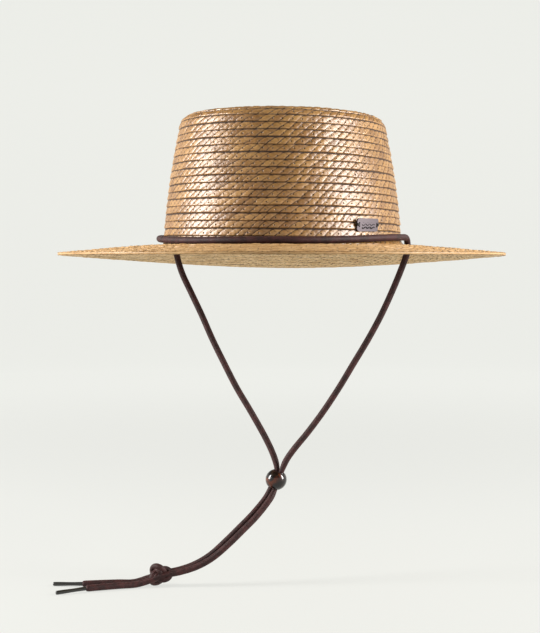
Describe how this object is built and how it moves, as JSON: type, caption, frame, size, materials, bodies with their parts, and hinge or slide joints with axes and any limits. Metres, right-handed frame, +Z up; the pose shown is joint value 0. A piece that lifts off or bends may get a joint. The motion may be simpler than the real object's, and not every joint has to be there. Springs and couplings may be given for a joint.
{
  "type": "straw sun hat",
  "caption": "Straw sun hat with a flat-topped crown, a wide brim and a doubled chin cord that a round toggle bead slides on.",
  "frame": {"origin": "middle of the head opening, at the level where the crown and the brim meet", "axes": "+Z up through the crown, -Y to the front of the hat, +X to its side where the tag is"},
  "size_m": [0.328, 0.362, 0.3495],
  "materials": {
    "straw": "sewn straw braid, glossy strands",
    "straw_brim": "sewn straw braid, matte underneath",
    "sweat_cloth": "woven ribbed band",
    "eyelet_metal": "plated, satin",
    "cord": "braided, soft sheen",
    "bead": "polished lacquer",
    "tip": "satin",
    "tag_metal": "gunmetal, brushed",
    "thread": "waxed thread"
  },
  "bodies": {
    "hat": {"crown_tip": "straw", "crown_wall": "straw", "brim": "straw_brim", "sweatband": "sweat_cloth", "sweatband_join": "sweat_cloth", "eyelet_left": "eyelet_metal", "eyelet_right": "eyelet_metal", "eyelet_washer_left": "eyelet_metal", "eyelet_washer_right": "eyelet_metal", "cord_band": "cord", "cord_left_strap": "cord", "cord_right_strap": "cord", "cord_left_tail": "cord", "cord_right_tail": "cord", "stopper_knot": "cord", "aglet_left": "tip", "aglet_right": "tip", "tag_plate": "tag_metal", "tag_thread_left": "thread", "tag_thread_right": "thread"},
    "toggle": {"toggle_bead": "bead"}
  },
  "joints": [
    {"name": "toggle_slide", "type": "slide", "parent": "hat", "child": "toggle", "axis": [0.33, 0.088, 0.9399], "range_m": [-0.02, 0.07], "deforming": ["cord_left_strap", "cord_right_strap", "cord_left_tail", "cord_right_tail"]}
  ]
}
